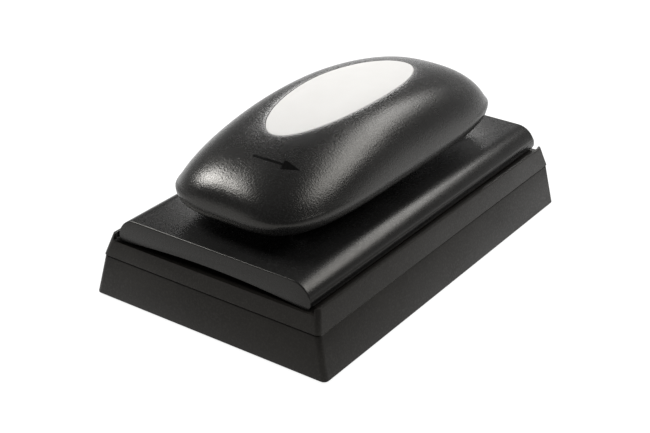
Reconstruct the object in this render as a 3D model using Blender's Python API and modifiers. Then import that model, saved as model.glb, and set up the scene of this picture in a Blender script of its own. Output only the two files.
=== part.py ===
"""Twist-open chalkboard eraser: a hollow flared base with felt strips, a latched lid and a turning handle.

Metres, +Z up. The origin is at the centre of the resting face and X runs along the eraser.
Turning the handle anticlockwise, seen from above, drives a cam disc whose two spiral slots draw the latch
bolts in from under the ledge of the rim, so that the lid comes free.
"""

import math

import bmesh
import bpy
from mathutils import Matrix

# ---------------------------------------------------------------- driving dimensions
LENGTH = 0.150
WIDTH = 0.0918
GAP = 0.0003            # left between pieces that touch
REACH = 0.001           # how far a cutter passes a face, and a joined piece runs into its host
CORNER_RADIUS = 0.0018  # upright corners of the base
CORNER_STEPS = 4

# Base: the skirt flares outwards below the parting line, the rim closes in above it.
FELT_HEIGHT = 0.0060
SKIRT_BOTTOM = 0.0002
PARTING_HEIGHT = 0.0148
RIM_HEIGHT = 0.0223    # long sides
LEDGE_HEIGHT = 0.0203   # seat of the lid, and top of the end walls
LEDGE_THICKNESS = 0.0020
SKIRT_WALL = 0.0025
SKIRT_TAPER_X = 0.0010
SKIRT_TAPER_Y = 0.0034
RIM_STEP = 0.0002       # the rim stands this far proud of the skirt
RIM_TAPER_X = 0.0031
RIM_TAPER_Y = 0.0052
RIM_LIP = 0.0010
RIM_WALL = 0.0034
LIP_CORNER = 0.0011
END_OPENING_DEPTH = 0.0040
END_CHEEK = 0.0013      # width of the rim left beside the openings in its end walls
LEDGE_HALF_X = 0.0645
LEDGE_HALF_Y = 0.0310
FLANGE_HALF_X = 0.0630
FLANGE_HALF_Y = 0.0340
CARRIER_THICKNESS = 0.0020
FLANGE_THICKNESS = 0.0016
POST_X = 0.0675
POST_Y = 0.0355
POST_RADIUS = 0.0035
POST_PILOT_TOP = 0.0175
FRAME_SCREW_LENGTH = 0.0123

# Felts and the slots between them.
FELT_COUNT = 5
FELT_WIDTH = 0.0120
FELT_PITCH = 0.0174
FELT_HALF_LENGTH = 0.0620
SLOT_HALF_LENGTH = 0.0600

# Lid.
COVER_HALF_X = 0.0714
COVER_HALF_Y = 0.0376
COVER_TOP = 0.0291
COVER_EDGE = 0.0226     # height of its widest line
COVER_ROUND_Y = 0.0070
COVER_TUCK = 0.0010     # how far the long edges draw in below the widest line
COVER_TURN_IN = 0.0002  # the draw-in starts with a small turn of this width
COVER_TURN_DROP = 0.0008
COVER_STEPS = 9
COVER_ROOF = 0.0023
COVER_CAVITY_X = 0.0665
COVER_CAVITY_Y = 0.0335
NOTCH_HEIGHT = 0.0021
NOTCH_HALF_SPAN = 0.0350
NOTCH_DEPTH = 0.0036
NOTCH_STEPS = 12
GASKET_HEIGHT = 0.0017
GASKET_WALL_X = 0.0012
GASKET_WALL_Y = 0.0014

# Handle: sections are superellipses whose exponent falls from the belly to the crown.
HANDLE_HALF_X = 0.0664
HANDLE_HALF_Y = 0.0300
HANDLE_BELLY = 0.04055
HANDLE_TOP = 0.0592
HANDLE_EDGE_DROP = 0.0062   # rounding under the belly: how far down
HANDLE_EDGE_INSET = 0.0053  # and how far in
HANDLE_WALL = 0.0028
HANDLE_PLAN = 4.09
HANDLE_CROWN = 2.0
HANDLE_BLEND = 0.62
HANDLE_LENGTHWISE = (2.04, 2.26)  # exponents at the belly and at the crown
HANDLE_CROSSWISE = (1.5, 4.0)
HANDLE_MOUTH_X = 0.0590
HANDLE_MOUTH_Y = 0.0226
BADGE_HALF_X = 0.0390
BADGE_HALF_Y = 0.0139
BADGE_THICKNESS = 0.0014
BADGE_GAP = 0.00015
BADGE_START = 0.0040    # height above the belly from which its upright sides are cut
HUB_RADIUS = 0.0180
NECK_RADIUS = 0.0080
NECK_HEIGHT = 0.0023
HANDLE_SCREW_X = 0.0450
HANDLE_SCREW_Y = 0.0140
HANDLE_SCREW_LENGTH = 0.0122
HANDLE_BOSS_RADIUS = 0.0035
HANDLE_PILOT_DEPTH = 0.0092
HANDLE_PLATE = 0.0022

# Turning gear.
TURN = math.radians(80.0)
BOLT_TRAVEL = 0.0065
PIN_RADIUS = 0.0020
PIN_CIRCLE = 0.0185     # where the follower pins stand with the lid locked
SLOT_CLEARANCE = 0.00025
SHAFT_RADIUS = 0.0050
SHAFT_SQUARE = 0.0070
SHAFT_BACK = 0.0001     # the spindle's faces stand this far back from the bush and the cam disc
SHAFT_DRILL = 0.0065
SHAFT_SCREW_REACH = 0.0055
END_HEAD_RADIUS = 0.0050
CAM_HEAD_RADIUS = 0.0045
END_HEAD_HEIGHT = 0.0022
END_HEAD_EDGE = 0.0014  # height of the upright edge of these two heads
END_FACE_SHARE = 0.8    # their flat face, as a share of the head
CAM_RADIUS = 0.0240
CAM_BOTTOM = 0.0185
CAM_THICKNESS = 0.0026
CAM_WASHER_RADIUS = 0.0055
CAM_WASHER_THICKNESS = 0.0009
SPRING_OUTER = 0.0085
SPRING_INNER = 0.0056
SPRING_THICKNESS = 0.0005
SPRING_WAVE = 0.00035
BOLT_HALF_WIDTH = 0.0060
BOLT_THICKNESS = 0.0024
BOLT_BOTTOM = 0.0157
BOLT_INNER = 0.0135
BOLT_TIP = 0.0695
BOLT_BEVEL = 0.0020
PIN_SEAT = 0.0010
PIN_BACK = 0.0002       # the pin's top stands this far below the top of the cam disc
GUIDE_PLACES = (0.0300, 0.0560)
GUIDE_HALF_X = 0.0040
GUIDE_HALF_Y = 0.0130
GUIDE_BOTTOM = 0.0141
GUIDE_TOP = 0.0197
GUIDE_SCREW_Y = 0.0100
GUIDE_SCREW_LENGTH = 0.0130
BUSH_RADIUS = 0.0070
BUSH_BOTTOM = 0.0230
BUSH_BOSS_RADIUS = 0.0110
THRUST_RADIUS = 0.0105
THRUST_THICKNESS = 0.0008
BOSS_RADIUS = 0.0030
STOP_CIRCLE = 0.0130
STOP_RADIUS = 0.0015
STOP_TOP = 0.0330
STOP_ANGLE = math.radians(130.0)

# Finishes: colour, roughness and metallic value.
BASE_BLACK = ((0.015, 0.014, 0.013), 0.42)
LID_BLACK = ((0.012, 0.012, 0.011), 0.34)
HANDLE_BLACK = ((0.011, 0.011, 0.010), 0.36)
CARRIER_BLACK = ((0.024, 0.023, 0.022), 0.50)
BADGE_WHITE = ((0.80, 0.78, 0.76), 0.32)
FELT_GREY = ((0.050, 0.052, 0.058), 0.95)
FOAM_GREY = ((0.045, 0.045, 0.050), 0.90)
ACETAL = ((0.72, 0.70, 0.65), 0.42)
GREY_ACETAL = ((0.46, 0.46, 0.45), 0.42)
STEEL = ((0.60, 0.59, 0.57), 0.28, 1.0)
ZINC = ((0.50, 0.50, 0.51), 0.34, 1.0)

SCREW_SHANK = 0.0015
SCREW_HEAD = 0.0028
SCREW_HOLE = 0.0019
HEAD_HEIGHT = 0.0018
HEAD_EDGE = 0.0007      # height of the bevel round the head's face
HEAD_FACE_SHARE = 0.7
SCREW_POINT = 0.0010
POINT_SHARE = 0.4
ROUND_STEPS = 32
SMALL_STEPS = 16
HANDLE_STEPS = 56
HANDLE_RINGS = 11
UNDERSIDE_STEPS = 5
CROWN_LEVEL = 0.9985    # the last section, closed flat
SLOT_STEPS = 14
SLOT_END_STEPS = 6
CAM_STEPS = 48


# ---------------------------------------------------------------- helpers
def clear_scene():
    for obj in list(bpy.data.objects):
        bpy.data.objects.remove(obj, do_unlink=True)


def new_collection(name):
    collection = bpy.data.collections.new(name)
    bpy.context.scene.collection.children.link(collection)
    return collection


def new_axis(name, x, y, z):
    """Empty on a joint's axis, for the pieces that move with it."""
    empty = bpy.data.objects.new(name, None)
    empty.location = (x, y, z)
    empty.empty_display_size = 0.01
    PARTS.objects.link(empty)
    return empty


clear_scene()
PARTS = new_collection("chalkboard_eraser")
CUTTERS = new_collection("cutters")


def finish_material(name, colour, roughness, metallic=0.0):
    material = bpy.data.materials.new(name)
    material.use_nodes = True
    shader = material.node_tree.nodes["Principled BSDF"]
    shader.inputs["Base Color"].default_value = (*colour, 1.0)
    shader.inputs["Roughness"].default_value = roughness
    shader.inputs["Metallic"].default_value = metallic
    return material


def add_object(name, bm, collection, material=None):
    """Closes a bmesh into a new object with its faces pointing out."""
    bmesh.ops.recalc_face_normals(bm, faces=bm.faces[:])
    mesh = bpy.data.meshes.new(name)
    bm.to_mesh(mesh)
    bm.free()
    obj = bpy.data.objects.new(name, mesh)
    collection.objects.link(obj)
    if material is not None:
        mesh.materials.append(material)
        mesh.shade_smooth()
        mesh.set_sharp_from_angle(angle=math.radians(35.0))
    return obj


def part(name, bm, finish):
    return add_object(name, bm, PARTS, finish_material(name, *finish))


def helper(name, bm):
    obj = add_object(name, bm, CUTTERS)
    obj.hide_render = True
    obj.display_type = "WIRE"
    return obj


def boolean(obj, other, operation):
    modifier = obj.modifiers.new(other.name, "BOOLEAN")
    modifier.operation = operation
    modifier.solver = "EXACT"
    modifier.object = other


def cut(obj, other):
    boolean(obj, other, "DIFFERENCE")


def join(obj, other):
    boolean(obj, other, "UNION")


def add_box(bm, low, high):
    middle = [(a + b) / 2 for a, b in zip(low, high)]
    size = [b - a for a, b in zip(low, high)]
    bmesh.ops.create_cube(bm, size=1.0, matrix=Matrix.Translation(middle) @ Matrix.Diagonal((*size, 1.0)))
    return bm


def add_cylinder(bm, radius, bottom, top, x=0.0, y=0.0, steps=ROUND_STEPS):
    place = Matrix.Translation((x, y, (bottom + top) / 2))
    bmesh.ops.create_cone(bm, cap_ends=True, segments=steps, radius1=radius, radius2=radius,
                          depth=top - bottom, matrix=place)
    return bm


def four_corners(x, y):
    return [(sx * x, sy * y) for sx in (-1, 1) for sy in (-1, 1)]


def rounded_rectangle(half_x, half_y, radius, height):
    """Points of a rounded rectangle, anticlockwise, CORNER_STEPS arcs to a corner."""
    points = []
    for corner, (sx, sy) in enumerate(((1, 1), (-1, 1), (-1, -1), (1, -1))):
        for step in range(CORNER_STEPS + 1):
            angle = math.pi / 2 * (corner + step / CORNER_STEPS)
            points.append((sx * (half_x - radius) + radius * math.cos(angle),
                           sy * (half_y - radius) + radius * math.sin(angle), height))
    return points


def loft(sections, closed_ring=False):
    """Joins sections of equal length; its ends are capped unless the last one meets the first."""
    bm = bmesh.new()
    loops = [[bm.verts.new(point) for point in section] for section in sections]
    count = len(loops[0])
    pairs = list(zip(loops, loops[1:]))
    if closed_ring:
        pairs.append((loops[-1], loops[0]))
    for lower, upper in pairs:
        for i in range(count):
            j = (i + 1) % count
            bm.faces.new((lower[i], lower[j], upper[j], upper[i]))
    if not closed_ring:
        bm.faces.new(loops[0])
        bm.faces.new(loops[-1])
    return bm


def ring(sections):
    """Frame whose wall section is given by (half_x, half_y, radius, height) all the way round the wall."""
    return loft([rounded_rectangle(*section) for section in sections], closed_ring=True)


def add_prism(bm, outline, vector):
    """Adds the solid of a flat closed outline pushed along a vector."""
    face = bm.faces.new([bm.verts.new(point) for point in outline])
    grown = bmesh.ops.extrude_face_region(bm, geom=[face])
    moved = [item for item in grown["geom"] if isinstance(item, bmesh.types.BMVert)]
    bmesh.ops.translate(bm, verts=moved, vec=vector)
    return bm


def add_spiral_slot(bm, start_radius, end_radius, start, end, half_width, bottom, top):
    """Round-ended slot whose radius changes evenly with the angle."""
    centre = []
    for i in range(SLOT_STEPS + 1):
        angle = start + (end - start) * i / SLOT_STEPS
        radius = start_radius + (end_radius - start_radius) * i / SLOT_STEPS
        centre.append((radius * math.cos(angle), radius * math.sin(angle)))
    headings = []
    for i in range(SLOT_STEPS + 1):
        before = centre[max(i - 1, 0)]
        after = centre[min(i + 1, SLOT_STEPS)]
        headings.append(math.atan2(after[1] - before[1], after[0] - before[0]))

    def beside(place, heading):
        """Point half a slot's width away from a place, in the direction of a heading."""
        return place[0] + half_width * math.cos(heading), place[1] + half_width * math.sin(heading)

    quarter = math.pi / 2
    turns = [math.pi * i / SLOT_END_STEPS for i in range(1, SLOT_END_STEPS)]
    outline = [beside(place, heading - quarter) for place, heading in zip(centre, headings)]
    outline += [beside(centre[-1], headings[-1] - quarter + turned_by) for turned_by in turns]
    outline += [beside(place, heading + quarter) for place, heading in zip(centre[::-1], headings[::-1])]
    outline += [beside(centre[0], headings[0] + quarter + turned_by) for turned_by in turns]
    return add_prism(bm, [(x, y, bottom) for x, y in outline], (0.0, 0.0, top - bottom))


def profile_mesh(name, profile, closed, finish):
    """Edges in the XZ plane for a Screw modifier, given from top to bottom on the outer side."""
    mesh = bpy.data.meshes.new(name)
    edges = [(i, i + 1) for i in range(len(profile) - 1)]
    if closed:
        edges.append((len(profile) - 1, 0))
    mesh.from_pydata([(radius, 0.0, height) for radius, height in profile], edges, [])
    mesh.materials.append(finish_material(name, *finish))
    return mesh


def turned(name, mesh, place=(0.0, 0.0, 0.0), steps=ROUND_STEPS):
    """Solid of revolution about a line through its place, along Z."""
    obj = bpy.data.objects.new(name, mesh)
    obj.location = place
    PARTS.objects.link(obj)
    screw = obj.modifiers.new("turn", "SCREW")
    screw.axis = "Z"
    screw.angle = 2 * math.pi
    screw.steps = steps
    screw.render_steps = steps
    screw.use_merge_vertices = True
    screw.merge_threshold = 0.00001
    screw.use_smooth_shade = True
    return obj


def screws(name, places, length, seat):
    """Pan-head screws pointing up, one at each place with its head just below the seat."""
    profile = [(0.0, length), (SCREW_SHANK * POINT_SHARE, length), (SCREW_SHANK, length - SCREW_POINT),
               (SCREW_SHANK, HEAD_HEIGHT), (SCREW_HEAD, HEAD_HEIGHT), (SCREW_HEAD, HEAD_EDGE),
               (SCREW_HEAD * HEAD_FACE_SHARE, 0.0), (0.0, 0.0)]
    mesh = profile_mesh(name, profile, False, ZINC)
    height = seat - GAP - HEAD_HEIGHT
    return [turned(f"{name}_{number}", mesh, (x, y, height), SMALL_STEPS)
            for number, (x, y) in enumerate(places, start=1)]


def holes(name, places, radius, bottom, top):
    bm = bmesh.new()
    for x, y in places:
        add_cylinder(bm, radius, bottom, top, x, y, SMALL_STEPS)
    return helper(name, bm)


def washer(name, outer, inner, bottom, top, finish):
    profile = [(outer, top), (outer, bottom), (inner, bottom), (inner, top)]
    return turned(name, profile_mesh(name, profile, True, finish))


def follow(axis, objects):
    """Parents pieces to the empty on their joint's axis and leaves them where they are."""
    for obj in objects:
        obj.parent = axis
        obj.matrix_parent_inverse = Matrix.Translation(-axis.location)


# ---------------------------------------------------------------- base
def skirt_half(height):
    """Half length and half width of the skirt's outside at a height."""
    share = (height - SKIRT_BOTTOM) / (PARTING_HEIGHT - SKIRT_BOTTOM)
    return LENGTH / 2 - SKIRT_TAPER_X * share, WIDTH / 2 - SKIRT_TAPER_Y * share


def make_skirt():
    flange_bottom = FELT_HEIGHT + GAP + CARRIER_THICKNESS + GAP
    flange_top = flange_bottom + FLANGE_THICKNESS

    def section(height, inset=0.0):
        half_x, half_y = skirt_half(height)
        return half_x - inset, half_y - inset, CORNER_RADIUS, height

    bm = ring([section(SKIRT_BOTTOM), section(PARTING_HEIGHT), section(PARTING_HEIGHT, SKIRT_WALL),
               section(flange_top, SKIRT_WALL), (FLANGE_HALF_X, FLANGE_HALF_Y, CORNER_RADIUS, flange_top),
               (FLANGE_HALF_X, FLANGE_HALF_Y, CORNER_RADIUS, flange_bottom),
               section(flange_bottom, SKIRT_WALL), section(SKIRT_BOTTOM, SKIRT_WALL)])
    skirt = part("skirt", bm, BASE_BLACK)
    cut(skirt, holes("skirt_screw_holes", four_corners(POST_X, POST_Y), SCREW_HOLE, flange_bottom - REACH,
                     flange_top + REACH))
    return flange_top


def make_rim_frame(flange_top):
    low_x, low_y = (half + RIM_STEP for half in skirt_half(PARTING_HEIGHT))
    top_x = LENGTH / 2 - RIM_TAPER_X
    top_y = WIDTH / 2 - RIM_TAPER_Y
    bottom = PARTING_HEIGHT + GAP
    inner_x = low_x - RIM_WALL
    inner_y = low_y - RIM_WALL
    ledge_bottom = LEDGE_HEIGHT - LEDGE_THICKNESS
    r = CORNER_RADIUS
    bm = ring([(low_x, low_y, r, bottom), (top_x, top_y, r, RIM_HEIGHT),
               (top_x - RIM_LIP, top_y - RIM_LIP, LIP_CORNER, RIM_HEIGHT),
               (top_x - RIM_LIP, top_y - RIM_LIP, LIP_CORNER, LEDGE_HEIGHT),
               (LEDGE_HALF_X, LEDGE_HALF_Y, r, LEDGE_HEIGHT), (LEDGE_HALF_X, LEDGE_HALF_Y, r, ledge_bottom),
               (inner_x, inner_y, r, ledge_bottom), (inner_x, inner_y, r, bottom)])
    rim = part("rim_frame", bm, BASE_BLACK)
    ends = bmesh.new()
    for side in (-1, 1):
        near, far = sorted((side * (top_x - END_OPENING_DEPTH), side * (top_x + REACH)))
        half = top_y - END_CHEEK
        add_box(ends, (near, -half, LEDGE_HEIGHT), (far, half, RIM_HEIGHT + REACH))
    cut(rim, helper("rim_end_openings", ends))
    posts = bmesh.new()
    for x, y in four_corners(POST_X, POST_Y):
        add_cylinder(posts, POST_RADIUS, flange_top + GAP, ledge_bottom + REACH, x, y, SMALL_STEPS)
    join(rim, helper("rim_posts", posts))
    cut(rim, holes("rim_pilot_holes", four_corners(POST_X, POST_Y), SCREW_HOLE, flange_top - REACH,
                   POST_PILOT_TOP))


def make_pad_carrier():
    bottom = FELT_HEIGHT + GAP
    top = bottom + CARRIER_THICKNESS
    half_x, half_y = (half - SKIRT_WALL - 2 * GAP for half in skirt_half(top))
    plate = loft([rounded_rectangle(half_x, half_y, CORNER_RADIUS, z) for z in (bottom, top)])
    carrier = part("pad_carrier", plate, CARRIER_BLACK)
    slots = bmesh.new()
    half_slot = (FELT_PITCH - FELT_WIDTH) / 2
    for index in range(FELT_COUNT - 1):
        y = FELT_PITCH * (index - (FELT_COUNT - 2) / 2)
        add_box(slots, (-SLOT_HALF_LENGTH, y - half_slot, bottom - REACH),
                (SLOT_HALF_LENGTH, y + half_slot, top + REACH))
    cut(carrier, helper("carrier_slots", slots))
    places = four_corners(POST_X, POST_Y)
    cut(carrier, holes("carrier_screw_holes", places, SCREW_HOLE, bottom - REACH, top + REACH))


def make_felts():
    for index in range(FELT_COUNT):
        y = FELT_PITCH * (index - (FELT_COUNT - 1) / 2)
        bm = add_box(bmesh.new(), (-FELT_HALF_LENGTH, y - FELT_WIDTH / 2, 0.0),
                     (FELT_HALF_LENGTH, y + FELT_WIDTH / 2, FELT_HEIGHT))
        part(f"felt_strip_{index + 1}", bm, FELT_GREY)


# ---------------------------------------------------------------- lid
def cover_outline(x):
    """Cross-section of the lid: flat top, quarter-round long edges, drawn in below the widest line."""
    bottom = LEDGE_HEIGHT + GAP
    right = [(COVER_HALF_Y - COVER_TUCK, bottom),
             (COVER_HALF_Y - COVER_TURN_IN, COVER_EDGE - COVER_TURN_DROP)]
    rise = COVER_TOP - COVER_EDGE
    for step in range(COVER_STEPS + 1):
        angle = math.pi / 2 * step / COVER_STEPS
        inset = COVER_ROUND_Y * (1 - math.cos(angle))
        right.append((COVER_HALF_Y - inset, COVER_EDGE + rise * math.sin(angle)))
    points = right + [(-y, z) for y, z in reversed(right)]
    return [(x, y, z) for y, z in points]


def notch_outline(x):
    """Shallow arch under each end of the lid, for a fingernail."""
    bottom = LEDGE_HEIGHT + GAP
    points = [(x, -NOTCH_HALF_SPAN, bottom - REACH), (x, NOTCH_HALF_SPAN, bottom - REACH)]
    for step in range(NOTCH_STEPS + 1):
        y = NOTCH_HALF_SPAN * (1 - 2 * step / NOTCH_STEPS)
        points.append((x, y, bottom + NOTCH_HEIGHT * (1 - (y / NOTCH_HALF_SPAN) ** 2)))
    return points


def make_cover_plate():
    whole = add_prism(bmesh.new(), cover_outline(-COVER_HALF_X), (2 * COVER_HALF_X, 0.0, 0.0))
    cover = part("cover_plate", whole, LID_BLACK)
    ceiling = COVER_TOP - COVER_ROOF
    cavity = loft([rounded_rectangle(COVER_CAVITY_X, COVER_CAVITY_Y, CORNER_RADIUS, z)
                   for z in (LEDGE_HEIGHT - REACH, ceiling)])
    cut(cover, helper("cover_cavity", cavity))
    for side, name in ((-1, "left"), (1, "right")):
        outline = notch_outline(side * (COVER_HALF_X + REACH))
        inwards = (-side * (NOTCH_DEPTH + REACH), 0.0, 0.0)
        cut(cover, helper(f"notch_{name}", add_prism(bmesh.new(), outline, inwards)))
    bosses = bmesh.new()
    pilots = bmesh.new()
    for place in GUIDE_PLACES:
        for x, y in four_corners(place, GUIDE_SCREW_Y):
            add_cylinder(bosses, BOSS_RADIUS, GUIDE_TOP + GAP, ceiling + REACH, x, y, SMALL_STEPS)
            add_cylinder(pilots, SCREW_HOLE, GUIDE_TOP, ceiling - REACH, x, y, SMALL_STEPS)
    add_cylinder(bosses, BUSH_BOSS_RADIUS, BUSH_BOTTOM + GAP, ceiling + REACH)
    join(cover, helper("cover_bosses", bosses))
    add_cylinder(pilots, BUSH_RADIUS + GAP, BUSH_BOTTOM - REACH, COVER_TOP + REACH)
    stop_x = STOP_CIRCLE * math.cos(STOP_ANGLE)
    stop_y = STOP_CIRCLE * math.sin(STOP_ANGLE)
    add_cylinder(pilots, STOP_RADIUS + GAP, ceiling - REACH, COVER_TOP + REACH, stop_x, stop_y, SMALL_STEPS)
    cut(cover, helper("cover_holes", pilots))
    pin = add_cylinder(bmesh.new(), STOP_RADIUS, ceiling + GAP, STOP_TOP, stop_x, stop_y, SMALL_STEPS)
    part("stop_pin", pin, STEEL)


def make_cover_gasket():
    outer_x = COVER_CAVITY_X - GAP
    outer_y = COVER_CAVITY_Y - GAP
    low = LEDGE_HEIGHT + GAP
    high = low + GASKET_HEIGHT
    inner_x = outer_x - GASKET_WALL_X
    inner_y = outer_y - GASKET_WALL_Y
    r = CORNER_RADIUS
    bm = ring([(outer_x, outer_y, r, low), (outer_x, outer_y, r, high), (inner_x, inner_y, r, high),
               (inner_x, inner_y, r, low)])
    part("cover_gasket", bm, FOAM_GREY)


def make_bolt_guides():
    channel_low = BOLT_BOTTOM - GAP
    channel_high = BOLT_BOTTOM + BOLT_THICKNESS + GAP
    half_channel = BOLT_HALF_WIDTH + GAP
    half_reach = GUIDE_HALF_X + REACH
    for side, side_name in ((-1, "left"), (1, "right")):
        for place, place_name in zip(GUIDE_PLACES, ("inner", "outer")):
            x = side * place
            block = add_box(bmesh.new(), (x - GUIDE_HALF_X, -GUIDE_HALF_Y, GUIDE_BOTTOM),
                            (x + GUIDE_HALF_X, GUIDE_HALF_Y, GUIDE_TOP))
            guide = part(f"bolt_guide_{side_name}_{place_name}", block, GREY_ACETAL)
            openings = add_box(bmesh.new(), (x - half_reach, -half_channel, channel_low),
                               (x + half_reach, half_channel, channel_high))
            for y in (-GUIDE_SCREW_Y, GUIDE_SCREW_Y):
                add_cylinder(openings, SCREW_HOLE, GUIDE_BOTTOM - REACH, GUIDE_TOP + REACH, x, y, SMALL_STEPS)
            cut(guide, helper(f"guide_openings_{side_name}_{place_name}", openings))
    places = [corner for place in GUIDE_PLACES for corner in four_corners(place, GUIDE_SCREW_Y)]
    screws("guide_screw", places, GUIDE_SCREW_LENGTH, GUIDE_BOTTOM)


# ---------------------------------------------------------------- handle
def shrink(level, belly_power, crown_power):
    """Share of the belly's size that is left at a level."""
    return (1 - level ** belly_power) ** (1 / crown_power)


def handle_section(level, inset=0.0):
    """Superellipse of the handle at a level from 0, the belly, to 1, the crown."""
    half_x = (HANDLE_HALF_X - inset) * shrink(level, *HANDLE_LENGTHWISE)
    half_y = (HANDLE_HALF_Y - inset) * shrink(level, *HANDLE_CROSSWISE)
    power = HANDLE_PLAN + (HANDLE_CROWN - HANDLE_PLAN) * level ** HANDLE_BLEND
    height = HANDLE_BELLY + (HANDLE_TOP - HANDLE_BELLY - inset) * level
    return superellipse(half_x, half_y, power, height)


def superellipse(half_x, half_y, power, height):
    points = []
    for i in range(HANDLE_STEPS):
        angle = 2 * math.pi * i / HANDLE_STEPS
        c, s = math.cos(angle), math.sin(angle)
        points.append((half_x * math.copysign(abs(c) ** (2 / power), c),
                       half_y * math.copysign(abs(s) ** (2 / power), s), height))
    return points


def handle_body(inset, lower_sections):
    """Closed solid under the handle's surface, drawn in by inset, standing on the given lower sections."""
    levels = [math.sin(math.pi / 2 * i / HANDLE_RINGS) for i in range(HANDLE_RINGS)]
    levels.append(CROWN_LEVEL)
    return loft(lower_sections + [handle_section(level, inset) for level in levels])


def rounded_underside():
    sections = []
    for step in range(UNDERSIDE_STEPS):
        angle = math.pi / 2 * step / UNDERSIDE_STEPS
        inset = HANDLE_EDGE_INSET * (1 - math.sin(angle))
        height = HANDLE_BELLY - HANDLE_EDGE_DROP * math.cos(angle)
        sections.append(superellipse(HANDLE_HALF_X - inset, HANDLE_HALF_Y - inset, HANDLE_PLAN, height))
    return sections


def straight_mouth(clearance, bottom):
    sizes = (HANDLE_MOUTH_X + clearance, HANDLE_MOUTH_Y + clearance, HANDLE_PLAN)
    return [superellipse(*sizes, bottom), superellipse(*sizes, HANDLE_BELLY - GAP)]


def badge_prism(clearance, bottom):
    """Upright oval through the top of the handle."""
    return loft([superellipse(BADGE_HALF_X + clearance, BADGE_HALF_Y + clearance, 2.0, z)
                 for z in (bottom, HANDLE_TOP + REACH)])


def make_handle_shell(underside):
    shell = part("handle_shell", handle_body(0.0, rounded_underside()), HANDLE_BLACK)
    cut(shell, helper("handle_inside", handle_body(HANDLE_WALL, straight_mouth(GAP, underside - REACH))))
    pocket_floor = helper("pocket_floor", handle_body(BADGE_THICKNESS + GAP, [
        superellipse(HANDLE_HALF_X, HANDLE_HALF_Y, HANDLE_PLAN, HANDLE_BELLY - REACH)]))
    pocket = helper("badge_pocket", badge_prism(BADGE_GAP, HANDLE_BELLY + BADGE_START - REACH))
    cut(pocket, pocket_floor)
    cut(shell, pocket)
    trim = helper("boss_trim", handle_body(HANDLE_WALL * 0.5, [
        superellipse(HANDLE_MOUTH_X - REACH, HANDLE_MOUTH_Y - REACH, HANDLE_PLAN, underside)]))
    places = four_corners(HANDLE_SCREW_X, HANDLE_SCREW_Y)
    plate_top = underside + GAP / 2 + HANDLE_PLATE
    bosses = bmesh.new()
    for x, y in places:
        add_cylinder(bosses, HANDLE_BOSS_RADIUS, plate_top + GAP, HANDLE_TOP, x, y, SMALL_STEPS)
    bosses = helper("handle_bosses", bosses)
    boolean(bosses, trim, "INTERSECT")
    join(shell, bosses)
    cut(shell, holes("handle_pilot_holes", places, SCREW_HOLE, plate_top - REACH,
                     plate_top + HANDLE_PILOT_DEPTH))
    return shell, plate_top


def make_handle_badge():
    badge = part("handle_badge", badge_prism(0.0, HANDLE_BELLY + BADGE_START), BADGE_WHITE)
    outside = helper("badge_outside", handle_body(0.0, rounded_underside()))
    boolean(badge, outside, "INTERSECT")
    inside = helper("badge_inside", handle_body(BADGE_THICKNESS, [
        superellipse(HANDLE_HALF_X, HANDLE_HALF_Y, HANDLE_PLAN, HANDLE_BELLY - REACH)]))
    cut(badge, inside)
    return badge


def make_handle_base(plate_top, hub_bottom):
    sizes = (HANDLE_MOUTH_X, HANDLE_MOUTH_Y, HANDLE_PLAN)
    plate_bottom = plate_top - HANDLE_PLATE
    plate = loft([superellipse(*sizes, z) for z in (plate_bottom, plate_top)])
    base = part("handle_base", plate, CARRIER_BLACK)
    hub = add_cylinder(bmesh.new(), HUB_RADIUS, hub_bottom, plate_bottom + REACH)
    join(base, helper("handle_hub", hub))
    neck = add_cylinder(bmesh.new(), NECK_RADIUS, plate_top - REACH, plate_top + NECK_HEIGHT)
    join(base, helper("handle_neck", neck))
    half = SHAFT_SQUARE / 2 + GAP
    openings = add_box(bmesh.new(), (-half, -half, hub_bottom - REACH),
                       (half, half, plate_top + NECK_HEIGHT + REACH))
    for x, y in four_corners(HANDLE_SCREW_X, HANDLE_SCREW_Y):
        add_cylinder(openings, SCREW_HOLE, plate_bottom - REACH, plate_top + REACH, x, y, SMALL_STEPS)
    cut(base, helper("handle_base_openings", openings))
    arc = add_spiral_slot(bmesh.new(), STOP_CIRCLE, STOP_CIRCLE, STOP_ANGLE - TURN, STOP_ANGLE,
                          STOP_RADIUS + 2 * SLOT_CLEARANCE, hub_bottom - REACH, STOP_TOP + 2 * GAP)
    cut(base, helper("stop_arc", arc))
    places = four_corners(HANDLE_SCREW_X, HANDLE_SCREW_Y)
    fixings = screws("handle_screw", places, HANDLE_SCREW_LENGTH, plate_bottom)
    return [base, *fixings]


# ---------------------------------------------------------------- turning gear
def make_spindle(hub_bottom, top):
    """Round in the bush and square at both ends, drilled at both ends for its screws."""
    half = SHAFT_SQUARE / 2
    shoulder = hub_bottom - GAP
    round_bottom = BUSH_BOTTOM - SHAFT_BACK
    spindle = part("spindle", add_cylinder(bmesh.new(), SHAFT_RADIUS, round_bottom, shoulder), STEEL)
    squares = add_box(bmesh.new(), (-half, -half, shoulder - REACH), (half, half, top))
    add_box(squares, (-half, -half, CAM_BOTTOM + SHAFT_BACK), (half, half, round_bottom + REACH))
    join(spindle, helper("spindle_squares", squares))
    drilled = add_cylinder(bmesh.new(), SCREW_HOLE, CAM_BOTTOM - REACH, CAM_BOTTOM + SHAFT_DRILL,
                           steps=SMALL_STEPS)
    add_cylinder(drilled, SCREW_HOLE, top - SHAFT_DRILL, top + REACH, steps=SMALL_STEPS)
    cut(spindle, helper("spindle_holes", drilled))
    return spindle


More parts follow.
